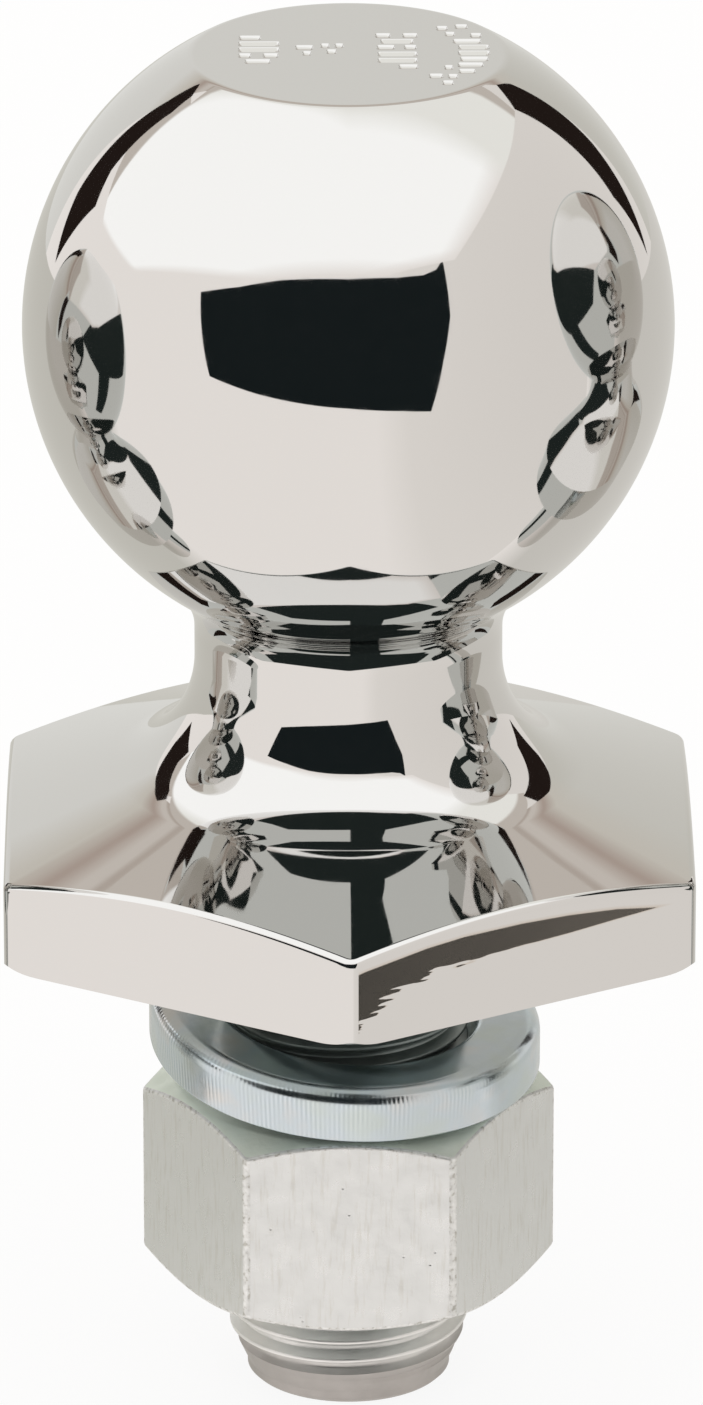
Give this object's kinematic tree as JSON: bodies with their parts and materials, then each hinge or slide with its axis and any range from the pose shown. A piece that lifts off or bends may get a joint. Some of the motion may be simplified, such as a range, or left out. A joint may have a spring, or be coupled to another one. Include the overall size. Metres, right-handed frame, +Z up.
{
  "type": "threaded tow ball",
  "caption": "Chromed tow ball with a turned neck, hexagonal flange and threaded shank, with a split lock washer and a hex nut that winds up the shank.",
  "frame": {"origin": "centre of the shank's end face, on the axis of the ball and shank", "axes": "+Z up along the shank's axis towards the ball, -Y towards the flange corner that faces the picture's camera, +X to that camera's right"},
  "size_m": [0.054, 0.062, 0.111],
  "materials": {
    "chrome_plate": "mirror-bright chrome plate on forged steel",
    "washer_zinc": "bright bluish zinc plate, fine upright draw lines on the rim",
    "nut_zinc": "satin zinc plate, lightly pitted"
  },
  "bodies": {
    "ball": {"tow_ball": "chrome_plate"},
    "washer": {"lock_washer": "washer_zinc"},
    "nut": {"hex_nut": "nut_zinc"}
  },
  "joints": [
    {"name": "washer_slide", "type": "slide", "parent": "ball", "child": "washer", "axis": [0, 0, 1], "range_m": [-0.0159, 0.0038]},
    {"name": "nut_spin", "type": "hinge", "parent": "washer", "child": "nut", "pos_m": [0, 0, 0.0172], "axis": [0, 0, 1], "range_deg": [-3600, 840]}
  ],
  "couplings": [
    {"joint": "washer_slide", "follows": "nut_spin", "m_per_rad": 0.00025266}
  ]
}
